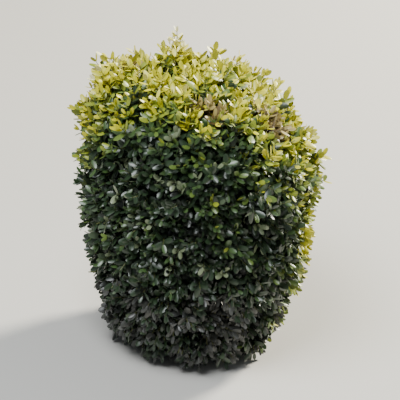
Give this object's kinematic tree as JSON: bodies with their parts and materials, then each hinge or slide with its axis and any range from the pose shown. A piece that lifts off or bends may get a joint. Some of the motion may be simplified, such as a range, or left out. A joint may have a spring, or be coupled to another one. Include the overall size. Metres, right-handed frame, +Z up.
{
  "type": "box topiary ball",
  "caption": "Clipped evergreen shrub with one dense, dome-topped crown of small leaves on a short stem that forks low and is rooted in level ground.",
  "frame": {"origin": "centre of the flat cut under the stem, at ground level", "axes": "+Z up the stem to the crown, -Y towards the viewer of the picture, +X to the viewer's right"},
  "size_m": [0.3886, 0.3904, 0.4909],
  "materials": {
    "bark": "rough, finely fissured bark",
    "leaf": "small leathery leaves with a slight gloss"
  },
  "bodies": {
    "root": {"stem": "bark", "bough_1": "bark", "bough_2": "bark", "bough_3": "bark", "bough_4": "bark", "bough_5": "bark", "foliage": "leaf"}
  },
  "joints": []
}
